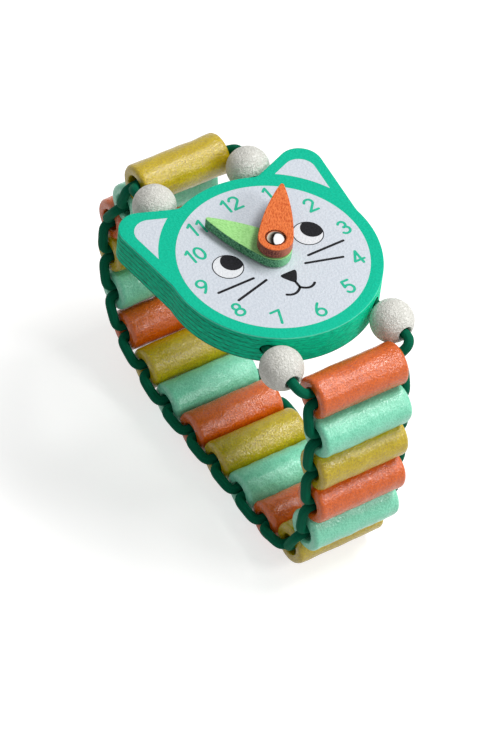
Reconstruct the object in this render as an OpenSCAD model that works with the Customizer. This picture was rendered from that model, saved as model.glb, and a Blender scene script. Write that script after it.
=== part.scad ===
// A toy wrist watch: a round wooden case with two ears and turning hands,
// on a strap of wooden cylinders that two crossing round elastics hold.
// It stands on the flat run of its strap with the dial level on top.
// +X is the 3 o'clock side, +Y the 12 o'clock side and +Z up.

/* [Case] */
// Diameter of the round part of the case
case_d = 38.4; // [35:0.2:43]
// Thickness of the case board
case_t = 6.2; // [5:0.1:8]
// Distance from the dial centre to the centre of an ear's rounded tip
ear_reach = 23.2; // [22:0.1:25.5]
// Radius of an ear's rounded tip
ear_tip_r = 4.1; // [3:0.1:4.6]
// Radius of the hollow fillet at the upper root of an ear
ear_top_fillet_r = 2.4; // [1:0.1:4]
// Radius of the hollow fillet at the outer root of an ear
ear_side_fillet_r = 6; // [3:0.5:12]

/* [Hands] */
// Thickness of each hand
hand_t = 2; // [1.5:0.1:2.6]
// Diameter of each hand's round base
hand_base_d = 6.2; // [5.4:0.1:7.4]
// Length of the hour hand from its axis to its tip
hour_hand_l = 13.3; // [11:0.1:15]
// Length of the minute hand from its axis to its tip
minute_hand_l = 13.2; // [11:0.1:16]
// Radius of the blunt tip of a hand
hand_tip_r = 0.35; // [0.2:0.05:0.6]
// Radius of the long curve along each side of a hand
hand_side_r = 40; // [30:1:80]
// Free height under each hand
hand_gap = 0.35; // [0.2:0.05:0.6]

/* [Hand pin] */
// Diameter of the pin's shank
pin_d = 1.7; // [1.4:0.1:2]
// Diameter of the pin's domed head
pin_head_d = 3.3; // [2.8:0.1:3.8]
// Height of the pin's domed head
pin_head_h = 1.3; // [1:0.1:1.5]
// Height of the straight rim under the dome
pin_rim_h = 0.4; // [0.2:0.05:0.6]
// Depth of the round recess in the minute hand that takes the head
pin_recess = 0.6; // [0.4:0.1:1.1]
// Room round the head in its recess
recess_clear = 0.2; // [0.15:0.05:0.4]
// Length of the pin that is pressed into the case
pin_grip = 4.2; // [3:0.1:4.8]

/* [Strap] */
// Length of a cylinder bead
bead_l = 18; // [15:0.5:21]
// Outside diameter of a cylinder bead
bead_d = 7.8; // [7.4:0.1:9.5]
// Radius that rounds the outer edge of a bead's ends
bead_round = 0.8; // [0.4:0.05:1]
// Radius that rounds the mouth of a bead's bore
bore_round = 0.5; // [0.3:0.05:0.6]
// Diameter of a ball bead
ball_d = 7.8; // [7:0.1:8.6]
// Free gap between pieces that lie side by side
bead_gap = 0.2; // [0.1:0.05:0.4]
// Height of the case's middle over the bead at its 12 o'clock side
case_over_bead = 2.3; // [0:0.1:3]

/* [Elastic] */
// Diameter of the round elastic
cord_d = 1.8; // [1.6:0.05:2.1]
// Free gap between the two strands in a bead's bore
strand_gap = 0.14; // [0.1:0.02:0.2]
// Free gap between a strand and the wall of a bead's bore
bore_clear = 0.1; // [0.08:0.02:0.2]
// Radial room round the single strand in a ball or in the case
hole_clear = 0.35; // [0.3:0.05:0.5]
// Height of the elastic's outer loops over a bead's end, on its centreline
loop_rise = 1; // [1:0.05:2]

/* [Hidden] */

// Overrun of a cut past the face that it opens
cut_over = 1;
// Clearance between a turning hole and its pin, on the radius
turn_clear = 0.05;
// Gap that keeps the two cut ends of a strand apart inside a bore
cut_gap = 0.3;

// Number of cylinder beads on the strap
bead_count = 18;
bead_colours = ["olivedrab", "aquamarine", "coral"];

// Directions from the dial centre, from +X: an ear and the roots of its edges
ear_angle = 44.5;
ear_side_root_angle = 7;
ear_top_root_angle = 65;

// Clock directions of the hands in the photographed pose, from 12 o'clock
hour_hand_angle = -30;
minute_hand_angle = 38.5;

// Headings of the strap's links, up from level towards 12 o'clock: from
// bead 8 to bead 6, up the 12 o'clock side from bead 6 to bead 1, from
// bead 12 to bead 13, and up the 6 o'clock side from bead 13 to bead 18
foot12_angles = [14, 24];
side12_angles = [56, 73, 87, 118, 112];
foot6_angles = [165];
side6_angles = [115.5, 93.6, 84.3, 87.2, 71.5];
// Beads 6 and 13 are the corners of the strap's foot, which stands on the
// flat run of beads 8 to 12
foot_first = 1 + len(side12_angles);
flat_first = foot_first + len(foot12_angles);
foot_last = bead_count - len(side6_angles);
flat_last = foot_last - len(foot6_angles);
// Tries that settle the lean of the strap's sides
lean_tries = 5;

case_r = case_d / 2;
bead_r = bead_d / 2;
ball_r = ball_d / 2;
cord_r = cord_d / 2;
pitch = bead_d + bead_gap;
strand_off = (cord_d + strand_gap) / 2;
bead_bore_r = strand_off + cord_r + bore_clear;
cord_hole_r = cord_r + hole_clear;
// Depth in a bore at which a strand starts to turn towards its next bead
bend_depth = bore_round + bore_clear;
// Half length of the part of a bore that holds the twisted strands
twist_half = bead_l / 2 - bend_depth;

hour_hand_z = hand_gap;
minute_hand_z = hour_hand_z + hand_t + hand_gap;
pin_head_z = minute_hand_z + hand_t - pin_recess + turn_clear;

// Places of the balls off the middle, along the case's edges
ball12_x_share = 0.51;
ball6_x_share = 0.595;
ball12_x = ball12_x_share * case_r;
ball6_x = ball6_x_share * case_r;
// Outward turn of the 12 o'clock balls' bores
ball12_tilt = 14;

function flat_dir(a) = [cos(a), sin(a)];
function turned(v, a) = [v[0] * cos(a) - v[1] * sin(a), v[0] * sin(a) + v[1] * cos(a)];
function unit(v) = v / norm(v);
function angle_of(v) = atan2(v[1], v[0]);

// The right ear: its tip's centre, and its two edges, each a straight line
// from a root on the round to the tip. An edge is its root, the direction
// along it, its outward normal and its distance from the dial centre.
ear_c = ear_reach * flat_dir(ear_angle);
function ear_edge(root_angle, side) =
    let (
        root = case_r * flat_dir(root_angle),
        to_tip = ear_c - root,
        dir = turned(unit(to_tip), side * asin(ear_tip_r / norm(to_tip))),
        out = turned(dir, side * 90)
    )
    [root, dir, out, root * out];
ear_top = ear_edge(ear_top_root_angle, 1);
ear_side = ear_edge(ear_side_root_angle, -1);

// Centre of the fillet circle that touches the round and an ear's edge
function fillet_c(edge, r) =
    let (off = edge[3] + r)
    off * edge[2] + sqrt(pow(case_r + r, 2) - off * off) * edge[1];

// The balls touch the edge of the case, bar a gap
ball12_y = (ear_top[3] + ball_r + bead_gap - ball12_x * ear_top[2][0]) / ear_top[2][1];
ball6_y = -sqrt(pow(case_r + ball_r + bead_gap, 2) - ball6_x * ball6_x);

// Distance from a ball's centre to the axis of the bead that it touches
function reach(ball_x) =
    let (over = max(0, ball_x - bead_l / 2 + bead_round))
    bead_r - bead_round + sqrt(pow(ball_r + bead_round + bead_gap, 2) - over * over);
reach12 = reach(ball12_x);
reach6 = reach(ball6_x);

// Chords of the strap's stretches, as steps in Y and Z
function chord(turns, last) =
    last < 0 ? [0, 0] : pitch * flat_dir(turns[last]) + chord(turns, last - 1);
flat_run = (flat_last - flat_first) * pitch;
foot12 = chord(foot12_angles, len(foot12_angles) - 1);
side12 = chord(side12_angles, len(side12_angles) - 1);
foot6 = chord(foot6_angles, len(foot6_angles) - 1);
side6 = chord(side6_angles, len(side6_angles) - 1);

// The strap's two sides lean alike, away from each other, so that the strap
// closes on the case whatever the sizes. The drop is how far bead 18 lies
// under bead 1, and it follows from the lean.
function drop_at(lean) = (foot12 + turned(side12, -lean) - foot6 - turned(side6, lean))[1];
case_reach12 = sqrt(max(0, reach12 * reach12 - case_over_bead * case_over_bead));
function case_reach6(drop) =
    sqrt(max(0, reach6 * reach6 - (case_over_bead + drop) * (case_over_bead + drop)));
function span_at(drop) = ball12_y - ball6_y + case_reach12 + case_reach6(drop);
function lean_for(span) =
    let (
        p = side12[0] - side6[0],
        q = side12[1] + side6[1],
        missing = span - flat_run - foot12[0] + foot6[0]
    )
    asin(missing / norm([p, q])) - atan2(p, q);
function solved_lean(tries) =
    tries == 0 ? 0 : lean_for(span_at(drop_at(solved_lean(tries - 1))));
lean = solved_lean(lean_tries);

// Bead axes as points in Y and Z, first counted from bead 8
function climb(start, turns, lean, links) =
    links == 0 ? start
    : climb(start, turns, lean, links - 1) + pitch * flat_dir(turns[links - 1] + lean);
function on_flat(k) = [-(k - flat_first) * pitch, bead_r];
function raw_bead(k) =
    k < foot_first ? climb(on_flat(flat_first) + foot12, side12_angles, -lean, foot_first - k)
    : k < flat_first ? climb(on_flat(flat_first), foot12_angles, 0, flat_first - k)
    : k <= flat_last ? on_flat(k)
    : k <= foot_last ? climb(on_flat(flat_last), foot6_angles, 0, k - flat_last)
    : climb(on_flat(flat_last) + foot6, side6_angles, lean, k - foot_last);
raw_y = [for (k = [1 : bead_count]) raw_bead(k)[0]];
// The origin lies under the middle of the strap
shift_y = -(max(raw_y) + min(raw_y)) / 2;
beads_at = [for (k = [1 : bead_count]) raw_bead(k) + [shift_y, 0]];
function bead_at(k) = beads_at[k - 1];

// The case hangs between the balls, a little over bead 1
dial_y = bead_at(1)[0] - case_reach12 - ball12_y;
case_mid_z = bead_at(1)[1] + case_over_bead;
dial_z = case_mid_z + case_t / 2;

// Directions along the strap at bead k, and square to it
function neighbour(k) =
    k < 1 ? [dial_y + ball12_y, case_mid_z]
    : k > bead_count ? [dial_y + ball6_y, case_mid_z]
    : bead_at(k);
alongs = [for (k = [1 : bead_count]) unit(neighbour(k + 1) - neighbour(k - 1))];
function along(k) = alongs[k - 1];
function square_to(v) = [v[1], -v[0]];

// The elastic's way through the case and its balls, on the side where x has
// the sign of side: the ball centres, the mouth at the 12 o'clock edge, and
// the directions of the bores
function ball12_c(side) = [side * ball12_x, dial_y + ball12_y, case_mid_z];
function ball6_c(side) = [side * ball6_x, dial_y + ball6_y, case_mid_z];
function ball12_dir(side) = [side * sin(ball12_tilt), cos(ball12_tilt), 0];
function case_mouth(side) = ball12_c(side) - (ball_r + bead_gap) * ball12_dir(side);
function case_dir(side) = unit(ball6_c(side) - case_mouth(side));

module along_line(from, dir) {
    translate(from)
        rotate([0, acos(dir[2]), atan2(dir[1], dir[0])])
            children();
}

// Case

// The blank of the ear reaches from the dial centre to the centres of the
// fillet circles, which cut it back to its hollow roots
module right_ear() {
    side_c = fillet_c(ear_side, ear_side_fillet_r);
    top_c = fillet_c(ear_top, ear_top_fillet_r);
    difference() {
        polygon([
            [0, 0],
            side_c,
            side_c - ear_side_fillet_r * ear_side[2],
            ear_c + ear_tip_r * ear_side[2],
            ear_c,
            ear_c + ear_tip_r * ear_top[2],
            top_c - ear_top_fillet_r * ear_top[2],
            top_c
        ]);
        translate(side_c) circle(ear_side_fillet_r, $fn = 96);
        translate(top_c) circle(ear_top_fillet_r, $fn = 96);
    }
    translate(ear_c) circle(ear_tip_r, $fn = 64);
}

module case_outline() {
    circle(case_r, $fn = 128);
    right_ear();
    mirror([1, 0]) right_ear();
}

module case_plate() {
    color("mediumseagreen")
        difference() {
            translate([0, dial_y, dial_z - case_t])
                linear_extrude(case_t) case_outline();
            translate([0, dial_y, dial_z - pin_grip])
                cylinder(d = pin_d, h = pin_grip + cut_over, $fn = 48);
            for (side = [-1, 1])
                along_line(case_mouth(side) - cut_over * case_dir(side), case_dir(side))
                    cylinder(r = cord_hole_r, h = norm(ball6_c(side) - case_mouth(side)) + cut_over, $fn = 48);
        }
}

// Hands and their pin

// A drop shape along +X: a round base, a small round tip, and long curved
// sides that touch both
module hand_outline(length) {
    base_r = hand_base_d / 2;
    tip_x = length - hand_tip_r;
    side_x = (pow(hand_side_r - base_r, 2) - pow(hand_side_r - hand_tip_r, 2) + tip_x * tip_x) / (2 * tip_x);
    side_y = sqrt(pow(hand_side_r - base_r, 2) - side_x * side_x);
    base_touch = -base_r * unit([side_x, -side_y]);
    tip_touch = [tip_x, 0] + hand_tip_r * unit([tip_x - side_x, side_y]);
    circle(base_r, $fn = 64);
    translate([tip_x, 0]) circle(hand_tip_r, $fn = 32);
    intersection() {
        translate([side_x, -side_y]) circle(hand_side_r, $fn = 360);
        translate([side_x, side_y]) circle(hand_side_r, $fn = 360);
        polygon([
            [base_touch[0], -base_r],
            [tip_touch[0], -base_r],
            [tip_touch[0], base_r],
            [base_touch[0], base_r]
        ]);
    }
}

module hand(length, clock_angle, z) {
    translate([0, dial_y, dial_z + z])
        rotate(90 - clock_angle)
            difference() {
                linear_extrude(hand_t) hand_outline(length);
                translate([0, 0, -cut_over])
                    cylinder(r = pin_d / 2 + turn_clear, h = hand_t + 2 * cut_over, $fn = 48);
                children();
            }
}

module hour_hand() {
    color("palegreen") hand(hour_hand_l, hour_hand_angle, hour_hand_z);
}

module minute_hand() {
    color("darkorange")
        hand(minute_hand_l, minute_hand_angle, minute_hand_z)
            translate([0, 0, hand_t - pin_recess])
                cylinder(r = pin_head_d / 2 + recess_clear, h = pin_recess + cut_over, $fn = 64);
}

module hand_pin() {
    dome_h = pin_head_h - pin_rim_h;
    dome_r = (pow(pin_head_d / 2, 2) + dome_h * dome_h) / (2 * dome_h);
    color("silver")
        translate([0, dial_y, dial_z]) {
            translate([0, 0, -pin_grip])
                cylinder(d = pin_d, h = pin_grip + pin_head_z + pin_rim_h, $fn = 48);
            intersection() {
                translate([0, 0, pin_head_z]) cylinder(d = pin_head_d, h = pin_head_h, $fn = 64);
                translate([0, 0, pin_head_z + pin_head_h - dome_r]) sphere(dome_r, $fn = 96);
            }
        }
}

// Beads

// Half section of a tube along Y, with its outer and inner edges rounded
module tube_section(outer, inner, length, outer_round, inner_round) {
    half = length / 2;
    translate([inner + inner_round, -half])
        square([outer - outer_round - inner - inner_round, length]);
    translate([outer - outer_round, -half + outer_round])
        square([outer_round, length - 2 * outer_round]);
    translate([inner, -half + inner_round])
        square([inner_round, length - 2 * inner_round]);
    for (end = [-1, 1]) {
        translate([outer - outer_round, end * (half - outer_round)])
            circle(outer_round, $fn = 32);
        translate([inner + inner_round, end * (half - inner_round)])
            circle(inner_round, $fn = 32);
    }
}

module bead(k) {
    color(bead_colours[(k - 1) % len(bead_colours)])
        translate([0, bead_at(k)[0], bead_at(k)[1]])
            rotate([0, 90, 0])
                rotate_extrude($fn = 96)
                    tube_section(bead_r, bead_bore_r, bead_l, bead_round, bore_round);
}

module ball(centre, dir) {
    mouth_h = sqrt(ball_r * ball_r - cord_hole_r * cord_hole_r);
    color("ivory")
        along_line(centre, dir)
            difference() {
                sphere(ball_r, $fn = 96);
                cylinder(r = cord_hole_r, h = 2 * ball_d, center = true, $fn = 48);
                // A worn edge at both mouths of the bore
                for (end = [-1, 1])
                    translate([0, 0, end * mouth_h])
                        rotate_extrude($fn = 48)
                            translate([cord_hole_r, 0]) circle(bore_round / 2, $fn = 24);
            }
}

// Elastic

// A strand's way is a list of stations: a point, and the direction in which
// its rings start

// Half a turn round the bore of bead k, for a strand that comes in at the
// end with the sign of side, from one share of the way to another
bore_steps = 6;
function bore_station(k, side, share) =
    let (a = angle_of(-along(k)) - side * 180 * share, c = bead_at(k) + strand_off * flat_dir(a))
    [[side * twist_half * (1 - 2 * share), c[0], c[1]], [0, square_to(along(k))[0], square_to(along(k))[1]]];
function bore_way(k, side, from, to) =
    [for (i = [0 : bore_steps]) bore_station(k, side, from + (to - from) * i / bore_steps)];

// The outer loop from bead k to bead k + 1 past the ends on one side, a
// square-shouldered arch
loop_steps = 8;
loop_power = 0.5;
function loop_station(k, side, share) =
    let (
        a = 180 * share,
        f = (1 - sign(cos(a)) * pow(abs(cos(a)), loop_power)) / 2,
        rise = (bend_depth + loop_rise) * pow(sin(a), loop_power),
        start = bead_at(k) + strand_off * along(k),
        end = bead_at(k + 1) - strand_off * along(k + 1),
        c = start + f * (end - start),
        out = square_to(along(k) + f * (along(k + 1) - along(k)))
    )
    [[side * (twist_half + rise), c[0], c[1]], [0, out[0], out[1]]];
function loop_way(k, side) =
    [for (i = [1 : loop_steps - 1]) loop_station(k, side, i / loop_steps)];

// End of a strand on which it enters bead k: a crosses from the left on odd
// beads, and b from the right
function entry(k, strand) = (k % 2 == 1) ? strand : -strand;
// Share of a half bore that the cut takes
cut_share = cut_gap / (4 * twist_half);

// A strand from the middle of bead first to the middle of bead last
function weave_way(first, last, strand) = [
    each bore_way(first, entry(first, strand), 0.5 + cut_share, 1),
    for (k = [first : last - 1]) each [
        each loop_way(k, -entry(k, strand)),
        each bore_way(k + 1, entry(k + 1, strand), 0, k + 1 == last ? 0.5 - cut_share : 1)
    ]
];

// A smooth curve from p0 to p3 that leaves for p1 and comes in from p2
bend_steps = 8;
function bend_point(p, s) =
    pow(1 - s, 3) * p[0] + 3 * pow(1 - s, 2) * s * p[1] + 3 * (1 - s) * s * s * p[2] + s * s * s * p[3];
function bend_way(p, out) =
    [for (i = [1 : bend_steps - 1]) [bend_point(p, i / bend_steps), out]];

// The stretch through the case: from the middle of bead 1 out past its end,
// through a ball, the case and the other ball, and into bead 18. The pulls
// are shares of a ball's radius and of a loop's height.
ball12_pull_share = 0.4;
ball6_pull_share = 0.7;
bead1_pull_share = 1;
bead18_pull_share = 0.8;
mouth_turn_share = 0.35;
function case_way(side) =
    let (
        up = [0, 0, 1],
        out = [side * (bend_depth + loop_rise), 0, 0],
        first = bore_station(1, side, 0)[0],
        last = bore_station(bead_count, -side, 1)[0],
        exit12 = ball12_c(side) + ball_r * ball12_dir(side),
        exit6 = ball6_c(side) + ball_r * case_dir(side),
        pull12 = ball12_pull_share * ball_r * ball12_dir(side),
        pull6 = ball6_pull_share * ball_r * case_dir(side),
        mouth = case_mouth(side),
        turn_in = mouth_turn_share * ball_r * ball12_dir(side),
        turn_out = mouth_turn_share * ball_r * case_dir(side)
    )
    [
        each bore_way(1, side, 0.5 - cut_share, 0),
        each bend_way([first, first + bead1_pull_share * out, exit12 + pull12, exit12], up),
        [exit12, up],
        [mouth + turn_in, up],
        [mouth + (turn_in + turn_out) / 4, up],
        [mouth + turn_out, up],
        [exit6, up],
        each bend_way([exit6, exit6 + pull6, last + bead18_pull_share * out, last], up),
        each bore_way(bead_count, -side, 1, 0.5 + cut_share)
    ];

cord_sides = 6;
function heading(way, i) =
    unit(way[min(i + 1, len(way) - 1)][0] - way[max(i - 1, 0)][0]);
function ring(way, i) =
    let (
        t = heading(way, i),
        u = unit(way[i][1] - (way[i][1] * t) * t),
        v = cross(t, u)
    )
    [
        for (j = [0 : cord_sides - 1])
            let (a = 360 * j / cord_sides)
            way[i][0] + cord_r * (cos(a) * u + sin(a) * v)
    ];

module strand(way) {
    rings = len(way);
    n = cord_sides;
    points = [for (i = [0 : rings - 1]) each ring(way, i)];
    faces = [
        [for (j = [0 : n - 1]) j],
        for (i = [0 : rings - 2]) for (j = [0 : n - 1]) each [
            [i * n + j, (i + 1) * n + j, (i + 1) * n + (j + 1) % n],
            [i * n + j, (i + 1) * n + (j + 1) % n, i * n + (j + 1) % n]
        ],
        [for (j = [n - 1 : -1 : 0]) (rings - 1) * n + j]
    ];
    color("darkgreen") polyhedron(points, faces);
}

case_plate();
hand_pin();
hour_hand();
minute_hand();
ball(ball12_c(-1), ball12_dir(-1));  // ball_12_left
ball(ball12_c(1), ball12_dir(1));  // ball_12_right
ball(ball6_c(-1), case_dir(-1));  // ball_6_left
ball(ball6_c(1), case_dir(1));  // ball_6_right
bead(1);  // bead_01_mustard
bead(2);  // bead_02_mint
bead(3);  // bead_03_orange
bead(4);  // bead_04_mustard
bead(5);  // bead_05_mint
bead(6);  // bead_06_orange
bead(7);  // bead_07_mustard
bead(8);  // bead_08_mint
bead(9);  // bead_09_orange
bead(10);  // bead_10_mustard
bead(11);  // bead_11_mint
bead(12);  // bead_12_orange
bead(13);  // bead_13_mustard
bead(14);  // bead_14_mint
bead(15);  // bead_15_orange
bead(16);  // bead_16_mustard
bead(17);  // bead_17_mint
bead(18);  // bead_18_orange
strand(case_way(-1));  // elastic_case_left
strand(case_way(1));  // elastic_case_right
strand(weave_way(1, foot_first, -1));  // elastic_side12_a
strand(weave_way(1, foot_first, 1));  // elastic_side12_b
strand(weave_way(foot_first, foot_last, -1));  // elastic_foot_a
strand(weave_way(foot_first, foot_last, 1));  // elastic_foot_b
strand(weave_way(foot_last, bead_count, -1));  // elastic_side6_a
strand(weave_way(foot_last, bead_count, 1));  // elastic_side6_b
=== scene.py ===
"""The looks of a child's wooden wrist watch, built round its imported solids.

Lengths in the shape functions are in millimetres, and each mesh is laid down
in metres. x points to 3 o'clock, y to 12 o'clock and z up through the dial.
"""

import math

import bmesh
import bpy
import numpy as np
from mathutils import Matrix, Vector


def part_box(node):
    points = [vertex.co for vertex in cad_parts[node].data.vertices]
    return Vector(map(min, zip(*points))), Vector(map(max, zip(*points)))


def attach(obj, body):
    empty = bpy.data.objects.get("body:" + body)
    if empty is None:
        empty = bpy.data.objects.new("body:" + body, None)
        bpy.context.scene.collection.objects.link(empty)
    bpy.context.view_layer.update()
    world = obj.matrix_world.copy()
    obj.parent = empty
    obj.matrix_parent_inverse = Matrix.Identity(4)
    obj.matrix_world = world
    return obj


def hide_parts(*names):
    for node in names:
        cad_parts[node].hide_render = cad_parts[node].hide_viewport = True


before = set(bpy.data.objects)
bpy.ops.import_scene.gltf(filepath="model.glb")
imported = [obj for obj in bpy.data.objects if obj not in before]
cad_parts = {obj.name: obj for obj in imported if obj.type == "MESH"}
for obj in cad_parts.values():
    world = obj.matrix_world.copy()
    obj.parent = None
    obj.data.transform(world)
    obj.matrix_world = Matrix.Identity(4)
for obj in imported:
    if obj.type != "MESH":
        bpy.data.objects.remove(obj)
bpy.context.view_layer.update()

# --------------------------------------- Camera
# The photograph looks down on the dial from the lower left of the watch, from
# far off, with the camera a little rolled.
VIEW_AZIMUTH = math.radians(-38.538)
VIEW_HEIGHT = math.radians(47.351)
VIEW_ROLL = math.radians(7.119)
VIEW_DISTANCE = 0.9223
VIEW_PAST_DIAL = Vector((0.012521, 0.019760, -0.053646))
PHOTO_LONG_SIDE, FOCAL_PIXELS, SENSOR_MM = 730, 5028.7, 36.0

case_low, case_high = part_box("case_plate")
DIAL_Z, CASE_R = case_high.z * 1000, 19.2
DIAL_Y = case_low.y * 1000 + CASE_R
view_target = Vector((0, DIAL_Y, DIAL_Z)) / 1000 + VIEW_PAST_DIAL

to_camera = Vector((math.sin(VIEW_AZIMUTH) * math.cos(VIEW_HEIGHT),
                    -math.cos(VIEW_AZIMUTH) * math.cos(VIEW_HEIGHT),
                    math.sin(VIEW_HEIGHT)))
level_right = Vector((math.cos(VIEW_AZIMUTH), math.sin(VIEW_AZIMUTH), 0.0))
level_up = to_camera.cross(level_right)
camera_right = math.cos(VIEW_ROLL) * level_right + math.sin(VIEW_ROLL) * level_up
camera_up = -math.sin(VIEW_ROLL) * level_right + math.cos(VIEW_ROLL) * level_up

lens = bpy.data.cameras.new("photo_view")
lens.sensor_width = SENSOR_MM
lens.lens = FOCAL_PIXELS * SENSOR_MM / PHOTO_LONG_SIDE
lens.clip_start, lens.clip_end = 0.01, 20.0
camera = bpy.data.objects.new("photo_view", lens)
bpy.context.scene.collection.objects.link(camera)
camera_turn = Matrix((camera_right, camera_up, to_camera)).transposed().to_4x4()
camera.matrix_world = Matrix.Translation(view_target + VIEW_DISTANCE * to_camera) @ camera_turn
bpy.context.scene.camera = camera

# ----------------------------------- Case board
# One piece of 6 mm birch plywood, sawn to a disc with two ears, with its
# edges broken and painted green all over. Its layers show through the paint
# on the sawn edge, most clearly on the left.
CASE_T = 6.2
EAR_REACH, EAR_AT, EAR_TIP_R = 23.2, 44.5, 4.1
EAR_SIDE_ROOT, EAR_TOP_ROOT = 7.0, 65.0
EAR_SIDE_FILLET, EAR_TOP_FILLET = 6.0, 2.4
CASE_EDGE = 0.16
CORD_HOLE_R, DRILL_PAST = 1.25, 3.0
BOARD_LAYERS = 6
OUTLINE_STEP = 0.3
EDGE_POINTS = 5


def heading(degrees):
    """Unit vector at an angle from +x: its cosine and its sine."""
    return np.array([math.cos(math.radians(degrees)), math.sin(math.radians(degrees))])


def turned(v, radians):
    """A flat vector turned counter-clockwise by an angle: (x cos - y sin,
    x sin + y cos)."""
    c, s = math.cos(radians), math.sin(radians)
    return np.array([v[0] * c - v[1] * s, v[0] * s + v[1] * c])


def arc(centre, r, start, end, n):
    """Points on a circle from one angle to another, in degrees: the centre
    plus r times the cosine and the sine."""
    a = np.radians(np.linspace(start, end, n))
    return np.stack([centre[0] + r * np.cos(a), centre[1] + r * np.sin(a)], 1)


def angle_of(v):
    """A flat vector's angle from +x, in degrees."""
    return math.degrees(math.atan2(v[1], v[0]))


ear_c = EAR_REACH * heading(EAR_AT)


def ear_edge(root_at, side):
    """An ear's edge: the straight line from a point on the round that
    touches the tip's circle, as its direction, outward normal and
    distance from the dial centre."""
    root = CASE_R * heading(root_at)
    to_tip = ear_c - root
    gap = np.linalg.norm(to_tip)
    along = turned(to_tip / gap, side * math.asin(EAR_TIP_R / gap))
    out = turned(along, side * math.pi / 2)
    return along, out, root @ out


def fillet_centre(edge, r):
    """Centre of the circle that touches the round and an ear's edge: r
    outside the edge's line and CASE_R + r from the dial centre."""
    along, out, off = edge
    off += r
    return off * out + math.sqrt((CASE_R + r) ** 2 - off ** 2) * along


ear_top, ear_side = ear_edge(EAR_TOP_ROOT, 1), ear_edge(EAR_SIDE_ROOT, -1)


def length_so_far(points):
    """A line's length up to each point: the running sum of its steps."""
    return np.concatenate([[0], np.cumsum(np.linalg.norm(np.diff(points, axis=0), axis=1))])


def unit(v):
    """A vector, or each row of vectors, divided by its length."""
    return v / np.linalg.norm(v, axis=-1, keepdims=True)


def spaced(points, step, closed=False):
    """The same line with its points a set distance apart: each coordinate is
    interpolated over the length so far."""
    points = np.vstack([points, points[:1]]) if closed else np.asarray(points, float)
    run = length_so_far(points)
    keep = np.concatenate([[True], np.diff(run) > 1e-9])
    points, run = points[keep], run[keep]
    n = max(2, int(round(run[-1] / step)) + 1)
    at = np.linspace(0, run[-1], n)
    line = np.stack([np.interp(at, run, points[:, i]) for i in range(points.shape[1])], 1)
    return line[:-1] if closed else line


def case_outline():
    """The board's outline round the dial centre, counter-clockwise: arcs and
    straight lines on the right half, then the same mirrored."""
    side_c = fillet_centre(ear_side, EAR_SIDE_FILLET)
    top_c = fillet_centre(ear_top, EAR_TOP_FILLET)
    side_out, top_out = angle_of(ear_side[1]), angle_of(ear_top[1])
    right_half = np.vstack([
        arc((0, 0), CASE_R, -90, angle_of(side_c), 160),
        arc(side_c, EAR_SIDE_FILLET, angle_of(side_c) + 180, side_out + 180, 24),
        arc(ear_c, EAR_TIP_R, side_out, top_out, 60),
        arc(top_c, EAR_TOP_FILLET, top_out - 180, angle_of(top_c) - 180, 40),
        arc((0, 0), CASE_R, angle_of(top_c), 90, 60),
    ])
    both = np.vstack([right_half, right_half[::-1] * [-1, 1]])
    return spaced(both, OUTLINE_STEP, closed=True)


def left_of(way):
    """Unit vectors a quarter turn to the left of the given ones."""
    return np.stack([-way[:, 1], way[:, 0]], 1)


def closed_way(line):
    """A closed line's direction at each point: from the one before it to the
    one after."""
    return unit(np.roll(line, -1, 0) - np.roll(line, 1, 0))


def inset(outline, d):
    """A closed outline moved inwards: each point steps d to its left."""
    return outline + d * left_of(closed_way(outline))


def lay_mesh(name, vertices, faces, smooth=True):
    """A mesh object from points in millimetres, merged and turned outwards."""
    mesh = bpy.data.meshes.new(name)
    mesh.from_pydata((np.asarray(vertices, float) / 1000).tolist(), [], faces)
    work = bmesh.new()
    work.from_mesh(mesh)
    bmesh.ops.remove_doubles(work, verts=work.verts, dist=1e-7)
    bmesh.ops.recalc_face_normals(work, faces=work.faces)
    work.to_mesh(mesh)
    work.free()
    mesh.polygons.foreach_set("use_smooth", np.full(len(mesh.polygons), smooth))
    piece = bpy.data.objects.new(name, mesh)
    bpy.context.scene.collection.objects.link(piece)
    return piece


def grid_faces(rows, columns, closed, first=0):
    """Quads between the neighbours in a grid of points, numbered row by row
    from first. Each row closes round, and so does the stack if asked."""
    r = np.arange(rows if closed else rows - 1)[:, None]
    c = np.arange(columns)[None, :]
    r2, c2 = (r + 1) % rows, (c + 1) % columns
    corners = (r * columns + c, r * columns + c2, r2 * columns + c2, r2 * columns + c)
    return (first + np.stack(np.broadcast_arrays(*corners), -1)).reshape(-1, 4).tolist()


def at_height(flat, z):
    """Flat points, all at one height."""
    return np.column_stack([flat, np.full(len(flat), z)])


def lay_rings(name, rings, closed=False, smooth=True):
    """A surface through a stack of closed rings of equally many points. An
    open stack is closed at both ends by a fan to the ring's middle."""
    rings = np.asarray(rings, float)
    rows, columns = rings.shape[:2]
    faces = grid_faces(rows, columns, closed)
    vertices = rings.reshape(-1, 3)
    if not closed:
        vertices = np.vstack([vertices, rings[0].mean(0), rings[-1].mean(0)])
        first_middle, last_middle = len(vertices) - 2, len(vertices) - 1
        k = np.arange(columns)
        k2 = (k + 1) % columns
        to_last = (rows - 1) * columns
        faces += np.stack([k2, k, np.full(columns, first_middle)], 1).tolist()
        faces += np.stack([to_last + k, to_last + k2, np.full(columns, last_middle)], 1).tolist()
    return lay_mesh(name, vertices, faces, smooth)


def broken_edge(r):
    """Quarter round from the flat to the side, as pairs of an inset, r less
    r sin a, and a drop, r less r cos a."""
    a = np.linspace(0, math.pi / 2, EDGE_POINTS)
    return list(zip(r * (1 - np.sin(a)), r * (1 - np.cos(a))))


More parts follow.
